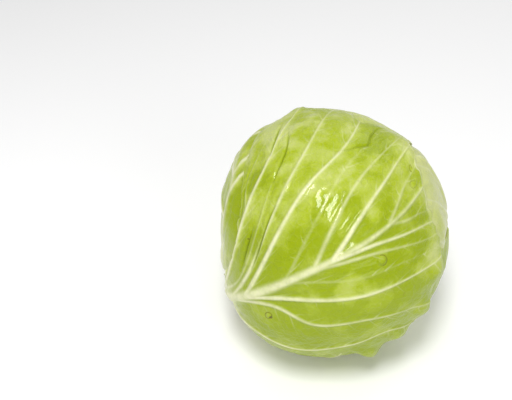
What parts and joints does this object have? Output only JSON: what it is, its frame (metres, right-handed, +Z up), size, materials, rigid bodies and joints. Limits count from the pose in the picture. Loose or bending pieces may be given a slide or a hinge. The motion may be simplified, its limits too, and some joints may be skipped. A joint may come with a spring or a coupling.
{
  "type": "cabbage head",
  "caption": "Round green cabbage head lying on its side, with ribbed wrapper leaves over a dense heart and a cut stem.",
  "frame": {"origin": "centre of the flat spot that the head rests on, straight below the head's middle", "axes": "+Z up, away from the surface; the cut stem points to -X and down; the front leaf faces -Y and up"},
  "size_m": [0.1589, 0.1691, 0.1622],
  "materials": {
    "green_leaf": "waxy leaf, yellow green between pale ribs",
    "pale_leaf": "waxy leaf, pale green",
    "cut_stem": "moist cut stem, pale"
  },
  "bodies": {
    "root": {"front_leaf": "green_leaf", "left_leaf": "green_leaf", "under_leaf": "green_leaf", "back_leaf": "green_leaf", "crown_leaf": "pale_leaf", "heart": "pale_leaf", "stem": "cut_stem"}
  },
  "joints": []
}
